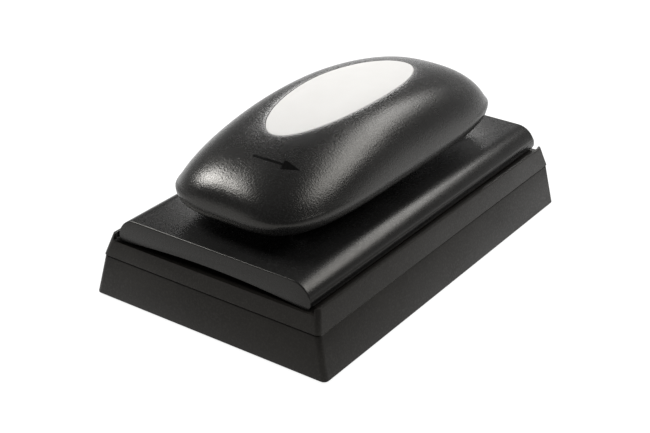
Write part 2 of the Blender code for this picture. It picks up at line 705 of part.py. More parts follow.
def make_end_fixings(neck_top, spindle_top):
    """The screw inside the handle points down, the one under the cam disc points up through its washer."""
    head_bottom = neck_top + GAP
    face = head_bottom + END_HEAD_HEIGHT
    tip = spindle_top - SHAFT_SCREW_REACH
    profile = [(0.0, face), (END_HEAD_RADIUS * END_FACE_SHARE, face),
               (END_HEAD_RADIUS, head_bottom + END_HEAD_EDGE), (END_HEAD_RADIUS, head_bottom),
               (SCREW_SHANK, head_bottom), (SCREW_SHANK, tip), (0.0, tip)]
    upper = turned("spindle_screw", profile_mesh("spindle_screw", profile, False, ZINC))
    washer_top = CAM_BOTTOM - GAP
    washer_bottom = washer_top - CAM_WASHER_THICKNESS
    ring_washer = washer("cam_washer", CAM_WASHER_RADIUS, SCREW_HOLE, washer_bottom, washer_top, STEEL)
    head_top = washer_bottom - GAP
    face = head_top - END_HEAD_HEIGHT
    tip = CAM_BOTTOM + SHAFT_SCREW_REACH
    profile = [(0.0, tip), (SCREW_SHANK, tip), (SCREW_SHANK, head_top), (CAM_HEAD_RADIUS, head_top),
               (CAM_HEAD_RADIUS, head_top - END_HEAD_EDGE), (CAM_HEAD_RADIUS * END_FACE_SHARE, face),
               (0.0, face)]
    lower = turned("cam_screw", profile_mesh("cam_screw", profile, False, ZINC))
    return [upper, ring_washer, lower]


def make_cam_disc():
    top = CAM_BOTTOM + CAM_THICKNESS
    disc = part("cam_disc", add_cylinder(bmesh.new(), CAM_RADIUS, CAM_BOTTOM, top, steps=CAM_STEPS), ACETAL)
    half = SHAFT_SQUARE / 2 + GAP
    openings = add_box(bmesh.new(), (-half, -half, CAM_BOTTOM - REACH), (half, half, top + REACH))
    for start in (0.0, math.pi):
        add_spiral_slot(openings, PIN_CIRCLE - BOLT_TRAVEL, PIN_CIRCLE, start - TURN, start,
                        PIN_RADIUS + SLOT_CLEARANCE, CAM_BOTTOM - REACH, top + REACH)
    cut(disc, helper("cam_openings", openings))
    return disc


def make_wave_spring():
    """Thin ring bent into three waves, between the cam disc and the bush."""
    middle = (CAM_BOTTOM + CAM_THICKNESS + BUSH_BOTTOM) / 2
    sections = []
    for radius, side in ((SPRING_OUTER, -1), (SPRING_OUTER, 1), (SPRING_INNER, 1), (SPRING_INNER, -1)):
        section = []
        for i in range(ROUND_STEPS):
            angle = 2 * math.pi * i / ROUND_STEPS
            height = middle + side * SPRING_THICKNESS / 2 + SPRING_WAVE * math.cos(3 * angle)
            section.append((radius * math.cos(angle), radius * math.sin(angle), height))
        sections.append(section)
    return part("wave_spring", loft(sections, closed_ring=True), STEEL)


def make_latch_bolts():
    top = BOLT_BOTTOM + BOLT_THICKNESS
    pin_top = CAM_BOTTOM + CAM_THICKNESS - PIN_BACK
    half = BOLT_HALF_WIDTH
    bevel = BOLT_TIP - BOLT_BEVEL
    corners = ((BOLT_INNER, -half), (bevel, -half), (BOLT_TIP, BOLT_BEVEL - half),
               (BOLT_TIP, half - BOLT_BEVEL), (bevel, half), (BOLT_INNER, half))
    for side, name in ((-1, "left"), (1, "right")):
        pin_x = side * PIN_CIRCLE
        outline = [(side * x, y, BOLT_BOTTOM) for x, y in corners]
        bar = add_prism(bmesh.new(), outline, (0.0, 0.0, BOLT_THICKNESS))
        bolt = part(f"latch_bolt_{name}", bar, GREY_ACETAL)
        seat = top - PIN_SEAT
        cut(bolt, holes(f"pin_seat_{name}", [(pin_x, 0.0)], PIN_RADIUS + GAP, seat, top + REACH))
        pin = add_cylinder(bmesh.new(), PIN_RADIUS, seat + GAP, pin_top, pin_x, 0.0, SMALL_STEPS)
        axis = new_axis(f"{name}_bolt_axis", pin_x, 0.0, (BOLT_BOTTOM + top) / 2)
        follow(axis, [bolt, part(f"latch_pin_{name}", pin, STEEL)])


# ---------------------------------------------------------------- the whole eraser
def build():
    flange_top = make_skirt()
    make_rim_frame(flange_top)
    make_pad_carrier()
    make_felts()
    screws("frame_screw", four_corners(POST_X, POST_Y), FRAME_SCREW_LENGTH, FELT_HEIGHT + GAP)

    make_cover_plate()
    make_cover_gasket()
    make_bolt_guides()
    washer("spindle_bush", BUSH_RADIUS, SHAFT_RADIUS + GAP, BUSH_BOTTOM, COVER_TOP - GAP, ACETAL)
    washer_bottom = COVER_TOP + GAP
    washer_top = washer_bottom + THRUST_THICKNESS
    washer("thrust_washer", THRUST_RADIUS, SHAFT_RADIUS + GAP, washer_bottom, washer_top, ACETAL)

    underside = HANDLE_BELLY - HANDLE_EDGE_DROP
    hub_bottom = washer_top + GAP
    shell, plate_top = make_handle_shell(underside)
    neck_top = plate_top + NECK_HEIGHT
    spindle_top = neck_top - GAP
    spindle = make_spindle(hub_bottom, spindle_top)
    turning = [shell, make_handle_badge(), spindle, make_cam_disc(), make_wave_spring()]
    turning += make_handle_base(plate_top, hub_bottom)
    turning += make_end_fixings(neck_top, spindle_top)
    follow(new_axis("handle_axis", 0.0, 0.0, COVER_TOP), turning)
    make_latch_bolts()


build()
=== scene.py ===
"""Finish for a twist-open chalkboard eraser: smooth mouldings, felts, screw heads, materials and a studio.

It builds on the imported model. Every shape is in metres, in the frame of that model: X runs along the eraser
and the handle turns about Z.
"""

import math

import bmesh
import bpy
from mathutils import Matrix, Vector, noise


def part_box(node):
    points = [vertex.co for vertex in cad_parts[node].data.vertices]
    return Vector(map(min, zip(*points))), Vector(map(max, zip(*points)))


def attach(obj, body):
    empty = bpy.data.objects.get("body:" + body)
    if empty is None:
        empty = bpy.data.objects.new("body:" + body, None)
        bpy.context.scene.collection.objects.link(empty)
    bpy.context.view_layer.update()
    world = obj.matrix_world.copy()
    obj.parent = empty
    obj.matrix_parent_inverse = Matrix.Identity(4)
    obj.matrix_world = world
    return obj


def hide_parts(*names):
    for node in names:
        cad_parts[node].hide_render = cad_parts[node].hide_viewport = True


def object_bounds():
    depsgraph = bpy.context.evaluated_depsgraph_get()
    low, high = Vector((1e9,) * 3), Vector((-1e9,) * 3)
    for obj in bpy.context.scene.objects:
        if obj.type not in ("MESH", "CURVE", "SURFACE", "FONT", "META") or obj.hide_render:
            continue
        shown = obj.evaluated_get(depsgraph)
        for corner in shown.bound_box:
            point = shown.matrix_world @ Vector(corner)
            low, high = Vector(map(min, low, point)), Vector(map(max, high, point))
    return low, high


bl_info = {
    "name": "Chalkboard eraser",
    "version": (1, 0, 0),
    "blender": (4, 5, 0),
    "location": "View3D > Sidebar > Eraser",
    "description": "Builds the finish of a twist-open chalkboard eraser",
    "category": "Object",
}

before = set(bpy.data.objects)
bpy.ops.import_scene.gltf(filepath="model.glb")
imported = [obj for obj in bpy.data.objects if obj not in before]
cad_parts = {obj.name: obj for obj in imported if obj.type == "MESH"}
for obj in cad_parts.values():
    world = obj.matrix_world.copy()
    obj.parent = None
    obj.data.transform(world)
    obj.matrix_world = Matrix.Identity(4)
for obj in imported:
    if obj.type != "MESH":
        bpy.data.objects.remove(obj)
CAD_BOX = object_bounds()

WELD = 1e-6                         # points closer than this are merged
WARM = (1.0, 0.965, 0.90, 1.0)      # tint of the gloss on the black mouldings
FLOW = 0.012                        # size of the flow marks in a moulding

# Edges of the mouldings
FLAT_ANGLE = 0.6            # degrees between faces below which they are made one
FINE_EDGE = 0.00012         # radius on edges that hardly show
FEATURE_ANGLE = 30.0        # degrees between faces from which an edge is rounded
LID_ANGLE = 35.0            # the same for the lid
SMOOTH_ANGLE = 60.0         # degrees up to which the handle and the badge are shaded smooth
LID_SHARE = 0.9             # radius on the lid as a share of the general edge radius
RIM_SHARE = 0.83            # the same for the rim
INNER_EDGE = 0.0003         # radius on pieces that are seen from below
LID_WIDEST = 0.0027         # the lid's widest line above its lowest point
RIM_FOOT = 0.0010           # the rim's plain wall starts this far above the skirt
LID_SHORTEST = 0.0009       # edges above that line stay sharp up to this length
RIM_SHORTEST = 0.005        # and those of the rim's plain wall up to this one

# Handle and badge
ROUND = 160                 # steps round the handle
SEAM = 0.00012              # hairline round the badge
BED_GAP = 0.0002            # room under the badge
RECESS_ROUND = 0.00010      # radius on the edge of the badge's recess
BADGE_ROUND = 0.00025       # radius on the edge of the badge
SHOULDER_LEVEL = 0.52       # level at which rings fitted to the badge become level sections
MOUTH_ROUND = 0.0002        # radius on the edge of the opening underneath

# Arrow, in its place on the handle
ARROW_RADIUS = 0.0503       # distance of its middle line from the turning axis
ARROW_TAIL, ARROW_NECK, ARROW_TIP = (math.radians(angle) for angle in (180.7, 192.6, 199.0))
ARROW_SHAFT = 0.00042       # half width of the shaft
ARROW_BARB = 0.0020         # half width of the head
ARROW_PROUD = 0.00004       # its face stands this far above the handle
ARROW_DEPTH = 0.0004        # its thickness

# Felts
FELT_ROUND = 0.0009         # radius on the edges of a pad
FELT_CUTS = (               # length that an edge is over, length that it is up to, cuts
    (0.05, 1.0, 95),
    (0.006, 0.05, 9),
    (0.002, 0.006, 4),
)
FELT_SHRINK = 0.00022       # the surface lies this far inside the pad's box on average
FELT_SWAY = 0.00016         # and rises and falls this much in broad waves
SWAY_WAVES = 420.0          # waves per metre
FELT_NAP = 0.00009          # and this much in the nap
NAP_WAVES = 1500.0
FELT_FLAT = 0.00002         # lowest point of the pad above the resting plane

# Screws
HEAD_HEIGHT = 0.64          # shares of the radius of the head
SHANK_RADIUS = 0.53
RECESS_REACH = 0.55
HEAD_ROUND = 0.5            # radius on the head, as a share of its height
RECESS_ARM = 0.28           # half width of a recess's arm, as a share of its reach
RECESS_DEPTH = 0.6          # share of the head's height
POINT_LENGTH = 0.0008
POINT_SHARE = 0.4           # radius of the point, as a share of the shank's


# ---------------------------------------------------------------- what a user can change
def metres(name, description, default, low=0.0, high=1.0):
    return bpy.props.FloatProperty(name=name, description=description, default=default, min=low, max=high,
                                   unit="LENGTH", precision=5)


def share(name, description, default, low=0.0, high=1.0):
    return bpy.props.FloatProperty(name=name, description=description, default=default, min=low, max=high)


def colour(name, description, default):
    return bpy.props.FloatVectorProperty(name=name, description=description, default=default, size=3,
                                         subtype="COLOR", min=0.0, max=1.0)


def turn(name, description, default):
    return bpy.props.FloatProperty(name=name, description=description, default=math.radians(default),
                                   subtype="ANGLE")


class EraserSizes(bpy.types.PropertyGroup):
    """Sizes of the moulded pieces"""
    half_length: metres("Handle half length", "Half the length of the handle at its belly",
                        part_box("handle_shell")[1].x)
    half_width: metres("Handle half width", "Half the width of the handle at its belly",
                       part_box("handle_shell")[1].y)
    crown: metres("Crown height", "Height of the top of the handle", CAD_BOX[1][2])
    underside: metres("Underside height", "Height of the lowest edge of the handle",
                      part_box("handle_shell")[0].z)
    edge_drop: metres("Lower edge drop", "Height of the rounding that turns the wall of the handle under",
                      0.0062)
    edge_inset: metres("Lower edge inset", "How far the rounding under the belly draws in", 0.0053)
    wall: metres("Wall", "Thickness of the handle's shell", 0.0028)
    plan: share("Belly squareness", "Superellipse exponent of the handle's plan at the belly", 4.09, 2.0, 8.0)
    crown_plan: share("Crown squareness", "Superellipse exponent at the crown", 2.0, 1.5, 4.0)
    blend: share("Plan blend", "How soon the plan loses its squareness towards the crown", 0.62, 0.1, 3.0)
    long_belly: share("Long profile, belly", "Exponent of the handle's long profile near the belly",
                      2.04, 1.2, 6.0)
    long_crown: share("Long profile, crown", "Exponent of the handle's long profile near the crown",
                      2.26, 1.2, 6.0)
    cross_belly: share("Cross profile, belly", "Exponent of the handle's cross profile near the belly",
                       1.5, 1.2, 6.0)
    cross_crown: share("Cross profile, crown", "Exponent of the handle's cross profile near the crown",
                       4.0, 1.2, 6.0)
    badge_half_length: metres("Badge half length", "Half the length of the oval inlay",
                              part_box("handle_badge")[1].x)
    badge_half_width: metres("Badge half width", "Half the width of the oval inlay",
                             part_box("handle_badge")[1].y)
    badge_depth: metres("Badge thickness", "Thickness of the oval inlay", 0.0014)
    soft_edge: metres("Edge radius", "Radius on the edges of the mouldings", 0.00048)


class EraserFinish(bpy.types.PropertyGroup):
    """Colours and surface grain"""
    handle_black: colour("Handle", "Colour of the textured handle", (0.0055, 0.0054, 0.0053))
    lid_black: colour("Lid", "Colour of the lid", (0.0060, 0.0059, 0.0058))
    base_black: colour("Base", "Colour of the base mouldings", (0.0060, 0.0053, 0.0045))
    badge_white: colour("Badge", "Colour of the oval inlay", (0.46, 0.452, 0.438))
    felt_grey: colour("Felt", "Colour of the felts", (0.050, 0.052, 0.058))
    grain: metres("Grain", "Size of the moulded grain on the handle", 0.00058)
    # Painted glints: brightness of the pale flecks painted into the colour of the mouldings, where the grain
    # would catch the light.
    painted_glint: share("Painted glint", "Brightness that the pale flecks of the grain add to the black",
                   0.007, 0.0, 0.5)
    grain_depth: metres("Grain depth", "Depth of the moulded grain on the handle", 0.00008)


class EraserStage(bpy.types.PropertyGroup):
    """Camera, lights and floor"""
    view_turn: turn("View turn", "Direction of the camera, measured from straight in front", -55.779)
    view_rise: turn("View rise", "Height of the camera above the horizon", 27.447)
    view_roll: turn("View roll", "Tilt of the camera about its own axis", 1.060)
    distance: metres("Distance", "Distance of the camera along its axis", 0.49970, 0.1, 10.0)
    slide_right: metres("Slide right", "Sideways place of the camera", -0.00531, -1.0, 1.0)
    slide_up: metres("Slide up", "Upward place of the camera across its axis", 0.00957, -1.0, 1.0)
    focal_length: share("Focal length", "Focal length in millimetres on a 36 mm wide sensor",
                        78.580, 10.0, 300.0)
    left_light: share("Left light", "Power of the softbox behind on the left, in watts", 15.5, 0.0, 500.0)
    right_light: share("Right light", "Power of the softbox in front on the right, in watts",
                       16.8, 0.0, 500.0)
    edge_light: share("Edge light", "Power of the small softbox high on the left, in watts", 2.2, 0.0, 500.0)
    back_light: share("Back light", "Power of the low softbox behind on the right, in watts",
                      4.0, 0.0, 500.0)
    sky: share("Surroundings", "Brightness of the white surroundings", 0.42, 0.0, 5.0)
    floor_glow: share("Floor glow", "Light that the sweep table gives from below", 0.90, 0.0, 2.0)


def settings():
    scene = bpy.context.scene
    return scene.eraser_sizes, scene.eraser_finish, scene.eraser_stage


# ---------------------------------------------------------------- pieces from meshes
def weld(bm):
    bmesh.ops.remove_doubles(bm, verts=bm.verts[:], dist=WELD)


def add_piece(name, bm, body, material, nodes=(), sharp=40.0):
    """Turns a bmesh into a finished piece that rides on a body and stands for the given nodes."""
    mesh = bpy.data.meshes.new(name)
    bm.to_mesh(mesh)
    bm.free()
    mesh.shade_smooth()
    mesh.set_sharp_from_angle(angle=math.radians(sharp))
    mesh.materials.append(material)
    piece = bpy.data.objects.new(name, mesh)
    bpy.context.scene.collection.objects.link(piece)
    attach(piece, body)
    if nodes:
        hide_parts(*nodes)
    return piece


def round_edges(bm, width, segments, least, bottom=-math.inf, top=math.inf, shortest=0.0, clamp=True):
    """Rounds the outer edges whose lower end lies between two heights, if they are long enough."""
    edges = []
    for edge in bm.edges:
        if len(edge.link_faces) != 2 or edge.calc_face_angle_signed() <= math.radians(least):
            continue
        lower = min(vert.co.z for vert in edge.verts)
        if bottom < lower <= top and edge.calc_length() > shortest:
            edges.append(edge)
    bmesh.ops.bevel(bm, geom=edges, offset=width, offset_type="OFFSET", segments=segments, profile=0.5,
                    affect="EDGES", material=-1, clamp_overlap=clamp)


def softened(node, width, segments=2, least=FEATURE_ANGLE, level=None, shortest=0.0):
    """A welded copy of a node's mesh whose outer edges are rounded.

    Where a level is given, edges that reach below that height get the fine radius, and of those above it the
    ones that aren't longer than the shortest stay sharp.
    """
    bm = bmesh.new()
    bm.from_mesh(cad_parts[node].data)
    weld(bm)
    bmesh.ops.dissolve_limit(bm, angle_limit=math.radians(FLAT_ANGLE), verts=bm.verts[:],
                             edges=bm.edges[:])
    if level is None:
        round_edges(bm, width, segments, least)
    else:
        round_edges(bm, FINE_EDGE, segments, least, top=level)
        round_edges(bm, width, segments, least, bottom=level, shortest=shortest, clamp=False)
    bmesh.ops.dissolve_degenerate(bm, dist=WELD, edges=bm.edges[:])
    return bm


def wrapped_sphere(places, start, end):
    """A sphere whose rings are laid on the given places in turn, from one pole to the other.

    Each place takes an angle round Z and gives a point. start and end are the points of the poles.
    """
    rings = len(places) + 1
    bm = bmesh.new()
    bmesh.ops.create_uvsphere(bm, u_segments=ROUND, v_segments=rings, radius=1.0)
    for vert in bm.verts:
        level = round(math.acos(max(-1.0, min(1.0, vert.co.z))) / math.pi * rings)
        if level == 0:
            vert.co = start
        elif level == rings:
            vert.co = end
        else:
            vert.co = places[level - 1](math.atan2(vert.co.y, vert.co.x))
    bmesh.ops.recalc_face_normals(bm, faces=bm.faces[:])
    return bm


def cut_by(bm, other):
    """The first mesh less the second; both are used up."""
    objects = []
    for number, source in enumerate((bm, other)):
        mesh = bpy.data.meshes.new(f"boolean_{number}")
        source.to_mesh(mesh)
        source.free()
        obj = bpy.data.objects.new(mesh.name, mesh)
        bpy.context.scene.collection.objects.link(obj)
        objects.append(obj)
    modifier = objects[0].modifiers.new("boolean", "BOOLEAN")
    modifier.operation = "DIFFERENCE"
    modifier.solver = "EXACT"
    modifier.object = objects[1]
    evaluated = objects[0].evaluated_get(bpy.context.evaluated_depsgraph_get())
    result = bmesh.new()
    result.from_mesh(evaluated.to_mesh())
    evaluated.to_mesh_clear()
    for obj in objects:
        bpy.data.objects.remove(obj)
    if not result.faces:
        raise RuntimeError("the Boolean left nothing")
    return result


def new_box(low, high):
    bm = bmesh.new()
    place = Matrix.Translation((low + high) / 2) @ Matrix.Diagonal((*(high - low), 1.0))
    bmesh.ops.create_cube(bm, size=1.0, matrix=place)
    return bm


def grown(bm, faces):
    """Extrudes faces and gives the new points and the new faces."""
    geometry = bmesh.ops.extrude_face_region(bm, geom=faces)["geom"]
    return ([item for item in geometry if isinstance(item, bmesh.types.BMVert)],
            [item for item in geometry if isinstance(item, bmesh.types.BMFace)])


# ---------------------------------------------------------------- materials
class Shader:
    """A Principled material and short ways to add nodes to it."""

    def __init__(self, name, roughness, metallic=0.0, ior=1.5):
        self.material = bpy.data.materials.new(name)
        self.material.use_nodes = True
        self.tree = self.material.node_tree
        self.surface = self.tree.nodes["Principled BSDF"]
        self.surface.inputs["Roughness"].default_value = roughness
        self.surface.inputs["Metallic"].default_value = metallic
        self.surface.inputs["IOR"].default_value = ior
        self.place = self.add("ShaderNodeTexCoord").outputs["Object"]

    def add(self, kind, **values):
        node = self.tree.nodes.new(kind)
        for key, value in values.items():
            setattr(node, key, value)
        return node

    def join(self, source, target):
        self.tree.links.new(source, target)

    def stretched(self, scale, rotation=(0.0, 0.0, 0.0)):
        mapping = self.add("ShaderNodeMapping")
        mapping.inputs["Scale"].default_value = scale
        mapping.inputs["Rotation"].default_value = rotation
        self.join(self.place, mapping.inputs["Vector"])
        return mapping.outputs["Vector"]

    def noise(self, size, detail=2.0, roughness=0.5, vector=None):
        node = self.add("ShaderNodeTexNoise")
        node.inputs["Scale"].default_value = 1.0 / size
        node.inputs["Detail"].default_value = detail
        node.inputs["Roughness"].default_value = roughness
        self.join(vector or self.place, node.inputs["Vector"])
        return node.outputs["Fac"]

    def cells(self, size):
        node = self.add("ShaderNodeTexVoronoi", feature="SMOOTH_F1")
        node.inputs["Scale"].default_value = 1.0 / size
        self.join(self.place, node.inputs["Vector"])
        return node.outputs["Distance"]

    def ramp(self, source, low, high, start=0.35, stop=0.65):
        """Maps a 0 to 1 value to a colour or a grey between two ends."""
        node = self.add("ShaderNodeValToRGB")
        ends = node.color_ramp.elements
        ends[0].position = start
        ends[1].position = stop
        for end, value in zip(ends, (low, high)):
            end.color = (*value, 1.0) if hasattr(value, "__len__") else (value, value, value, 1.0)
        self.join(source, node.inputs["Fac"])
        return node.outputs["Color"]

    def mixed(self, factor, first, second):
        node = self.add("ShaderNodeMix", data_type="RGBA")
        for name, value in (("Factor", factor), ("A", first), ("B", second)):
            socket = next(s for s in node.inputs if s.name == name and s.enabled)
            if isinstance(value, bpy.types.NodeSocket):
                self.join(value, socket)
            else:
                socket.default_value = value
        return next(s for s in node.outputs if s.enabled)

    def bump(self, height, depth, after=None):
        """Adds relief whose full range is the given depth in metres."""
        node = self.add("ShaderNodeBump")
        node.inputs["Strength"].default_value = 1.0
        node.inputs["Distance"].default_value = depth
        self.join(height, node.inputs["Height"])
        if after is not None:
            self.join(after, node.inputs["Normal"])
        return node.outputs["Normal"]

    def finish(self, colour_out=None, roughness_out=None, normal=None, **constants):
        for out, socket in ((colour_out, "Base Color"), (roughness_out, "Roughness"), (normal, "Normal")):
            if out is not None:
                self.join(out, self.surface.inputs[socket])
        for name, value in constants.items():
            self.surface.inputs[name.replace("_", " ").title()].default_value = value
        return self.material


def scaled(tone, factor):
    return tuple(min(1.0, channel * factor) for channel in tone)


def moulded_plastic(name, tone, grain, depth, roughness, ior=1.42, painted_glint=0.0):
    """Black moulded plastic: spark-eroded grain, a little flow in the tone and a rub here and there.

    Pale flecks of the grain's own size are painted into the colour as painted glints, where the grain would
    catch the light; the last setting gives their brightness.
    """
    shader = Shader(name, roughness, ior=ior)
    grains = shader.noise(grain, 2.0, 0.6)
    flow = shader.noise(FLOW, 3.0, 0.55)
    tone_out = shader.ramp(flow, scaled(tone, 0.82), scaled(tone, 1.2))
    # The grain's peaks get painted glints, pale flecks in the colour that stand in for light caught by the
    # grain, and also a lower roughness.
    flecks = shader.ramp(grains, 0.0, 1.0, 0.46, 0.72)
    glint_painted_tone = shader.mixed(flecks, tone_out, (*(channel * 1.7 + painted_glint for channel in tone), 1.0))
    rubbed = shader.ramp(shader.noise(FLOW * 2.3, 4.0, 0.6), roughness * 0.9, roughness * 1.12)
    glints = shader.mixed(flecks, rubbed, (*(roughness * 0.75,) * 3, 1.0))
    return shader.finish(glint_painted_tone, glints, shader.bump(grains, depth), specular_tint=WARM)


def smooth_badge(name, tone):
    """White moulding with a faint orange peel."""
    shader = Shader(name, 0.62, ior=1.35)
    clouds = shader.noise(0.020, 2.0)
    normal = shader.bump(shader.noise(0.0022, 2.0), 0.000006)
    return shader.finish(shader.ramp(clouds, scaled(tone, 0.985), scaled(tone, 1.01)),
                         shader.ramp(shader.noise(0.004), 0.58, 0.66), normal)


def turned_metal(name, tone, roughness):
    """Steel with fine turning marks and a few stains."""
    shader = Shader(name, roughness, metallic=1.0)
    marks = shader.noise(0.0005, 4.0, 0.6, shader.stretched((0.15, 0.15, 2.5)))
    stains = shader.noise(0.004, 4.0, 0.6)
    return shader.finish(shader.ramp(stains, scaled(tone, 0.85), tone),
                         shader.ramp(marks, roughness * 0.75, roughness * 1.3), shader.bump(marks, 0.000008))


def milky_plastic(name, tone):
    """Unpigmented acetal: waxy, with faint tool marks."""
    shader = Shader(name, 0.42)
    cloud = shader.noise(0.006, 3.0)
    marks = shader.noise(0.0007, 2.0, 0.5, shader.stretched((1.0, 0.2, 1.0)))
    return shader.finish(shader.ramp(cloud, scaled(tone, 0.92), scaled(tone, 1.04)),
                         shader.ramp(marks, 0.36, 0.48), shader.bump(marks, 0.000012))


def pressed_felt(name, tone):
    """Pressed wool: crossed fibres in several greys over a soft nap."""
    shader = Shader(name, 0.95)
    fibres = shader.noise(0.0006, 4.0, 0.7, shader.stretched((0.22, 1.0, 1.0), (0.2, 0.1, 0.5)))
    crossed = shader.noise(0.0006, 4.0, 0.7, shader.stretched((1.0, 0.22, 1.0), (0.1, 0.3, -0.4)))
    clumps = shader.noise(0.0035, 3.0, 0.6)
    both = shader.mixed(0.5, fibres, crossed)
    dark, light = ((*scaled(tone, factor), 1.0) for factor in (0.45, 1.7))
    tone_out = shader.mixed(shader.ramp(both, 0.0, 1.0, 0.4, 0.62), dark, light)
    chalk = shader.mixed(shader.ramp(clumps, 0.0, 0.16, 0.5, 0.72), tone_out, (0.42, 0.42, 0.41, 1.0))
    normal = shader.bump(both, 0.0006)
    normal = shader.bump(clumps, 0.0005, normal)
    return shader.finish(chalk, None, normal, sheen_weight=0.5, sheen_roughness=0.6)


def closed_foam(name, tone):
    """Dark foam with small cells."""
    shader = Shader(name, 0.9)
    cells = shader.cells(0.0006)
    return shader.finish(shader.ramp(cells, scaled(tone, 1.4), scaled(tone, 0.3), 0.1, 0.6), None,
                         shader.bump(cells, 0.0002))


def make_materials():
    """One material for each finish, kept by name in bpy.data.materials."""
    finish = settings()[1]
    # Each moulding gets its own share of the painted glints in its colour.
    moulded_plastic("handle_grain", finish.handle_black, finish.grain, finish.grain_depth, 0.28,
                    1.40, finish.painted_glint)
    moulded_plastic("lid_satin", finish.lid_black, 0.00070, 0.000014, 0.31, 1.34, finish.painted_glint * 0.3)
    moulded_plastic("base_grain", finish.base_black, 0.00060, 0.000026, 0.42, 1.30,
                    finish.painted_glint * 0.5)
    moulded_plastic("skirt_satin", finish.base_black, 0.00070, 0.000012, 0.42, 1.27,
                    finish.painted_glint * 0.4)
    moulded_plastic("inner_black", scaled(finish.base_black, 1.6), 0.00045, 0.000020, 0.5)
    moulded_plastic("arrow_black", scaled(finish.handle_black, 0.30), 0.00060, 0.000006, 0.6, 1.08)
    smooth_badge("badge_white", finish.badge_white)
    turned_metal("bright_steel", (0.60, 0.59, 0.57), 0.28)
    turned_metal("zinc_screw", (0.50, 0.50, 0.51), 0.34)
    milky_plastic("acetal", (0.72, 0.70, 0.65))
    milky_plastic("grey_acetal", (0.46, 0.46, 0.45))
    pressed_felt("felt", finish.felt_grey)
    closed_foam("gasket_foam", (0.045, 0.045, 0.050))


def material(name):
    return bpy.data.materials[name]


# ---------------------------------------------------------------- the shape of the handle
class HandleSurface:
    """The handle's outside: superellipses that shrink from the belly to the crown."""

    def __init__(self, sizes):
        self.sizes = sizes
        self.belly = sizes.underside + sizes.edge_drop
        self.rise = sizes.crown - self.belly

    def section(self, level, inset=0.0):
        """Half length, half width and exponent at a level from 0, the belly, to 1, the crown."""
        sizes = self.sizes
        share_x = max(0.0, 1 - level ** sizes.long_belly) ** (1 / sizes.long_crown)
        share_y = max(0.0, 1 - level ** sizes.cross_belly) ** (1 / sizes.cross_crown)
        half_x, half_y = (sizes.half_length - inset) * share_x, (sizes.half_width - inset) * share_y
        power = sizes.plan + (sizes.crown_plan - sizes.plan) * level ** sizes.blend
        return half_x, half_y, power

    def point(self, level, angle, inset=0.0):
        half_x, half_y, power = self.section(level, inset)
        return self.outline(half_x, half_y, power, angle, self.belly + (self.rise - inset) * level)

    @staticmethod
    def outline(half_x, half_y, power, angle, height):
        c, s = math.cos(angle), math.sin(angle)
        reach = (abs(c) ** power + abs(s) ** power) ** (-1 / power)
        return Vector((half_x * reach * c, half_y * reach * s, height))

    def height(self, x, y):
        """Height of the surface above a place inside its outline."""
        low, high = 0.0, 1.0
        for _ in range(30):
            level = (low + high) / 2
            half_x, half_y, power = self.section(level)
            inside = half_x > 0 and half_y > 0 and (
                (abs(x) / half_x) ** power + (abs(y) / half_y) ** power < 1)
            low, high = (level, high) if inside else (low, level)
        return self.belly + self.rise * low

    def sunk(self, flat, sink):
        return Vector((flat.x, flat.y, self.height(flat.x, flat.y) - sink))

    def oval(self, angle, grow, sink):
        """A point of the badge's outline, moved out by grow and set below the surface by sink."""
        sizes = self.sizes
        half_x, half_y = sizes.badge_half_length + grow, sizes.badge_half_width + grow
        return self.sunk(self.outline(half_x, half_y, 2.0, angle, 0.0), sink)

    def oval_share(self, angle, part, sink):
        """A point inside the badge's outline, a share of the way out from its middle."""
        sizes = self.sizes
        half_x, half_y = sizes.badge_half_length * part, sizes.badge_half_width * part
        return self.sunk(self.outline(half_x, half_y, 2.0, angle, 0.0), sink)

    def centre(self, sink):
        return self.sunk(Vector((0.0, 0.0, 0.0)), sink)


def spaced(count):
    """Equal steps from 0 to 1."""
    return [i / (count - 1) for i in range(count)]


def quarter_turn(count):
    """Cosines and sines of equal steps from 0 to 90 degrees."""
    return [(math.cos(math.pi / 2 * part), math.sin(math.pi / 2 * part)) for part in spaced(count)]


def handle_places(surface):
    """Rings of the shell from the middle of the badge's recess, over the outside, to the inside."""
    sizes = surface.sizes
    depth = sizes.badge_depth + BED_GAP
    places = [lambda a, p=part: surface.oval_share(a, p, depth) for part in (0.12, 0.4, 0.7, 0.95)]
    places.append(lambda a: surface.oval(a, SEAM, depth))
    for c, s in quarter_turn(5):
        places.append(lambda a, g=SEAM + RECESS_ROUND * (1 - c), k=RECESS_ROUND * (1 - s):
                      surface.oval(a, g, k))

    def between(angle, part):
        inner = surface.oval(angle, SEAM + RECESS_ROUND, 0.0)
        return surface.sunk(inner.lerp(surface.point(SHOULDER_LEVEL, angle), part), 0.0)

    places += [lambda a, p=part: between(a, p) for part in spaced(14)[1:-1]]
    places += [lambda a, k=SHOULDER_LEVEL * c: surface.point(k, a) for c, _ in quarter_turn(22)]
    for c, s in quarter_turn(11)[1:]:
        inset = sizes.edge_inset * (1 - c)
        height = surface.belly - sizes.edge_drop * s
        places.append(lambda a, i=inset, z=height: surface.outline(
            sizes.half_length - i, sizes.half_width - i, sizes.plan, a, z))
    mouth = [half + SEAM * 2 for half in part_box("handle_base")[1].xy]
    for out, up in ((1.0, 0.0), (0.3, 0.3), (0.0, 1.0)):
        places.append(lambda a, g=MOUTH_ROUND * out, r=MOUTH_ROUND * up: surface.outline(
            mouth[0] + g, mouth[1] + g, sizes.plan, a, sizes.underside + r))
    places.append(lambda a: surface.outline(*mouth, sizes.plan, a, surface.belly))
    for level in (0.0, 0.2, 0.4, 0.6, 0.8, 0.93):
        places.append(lambda a, k=level: surface.point(k, a, sizes.wall))
    return places


def make_handle_shell(surface):
    sizes = surface.sizes
    bm = wrapped_sphere(handle_places(surface), surface.centre(sizes.badge_depth + BED_GAP),
                        Vector((0.0, 0.0, sizes.crown - sizes.wall)))
    add_piece("moulded_handle", bm, "handle", material("handle_grain"), ["handle_shell"],
              SMOOTH_ANGLE)


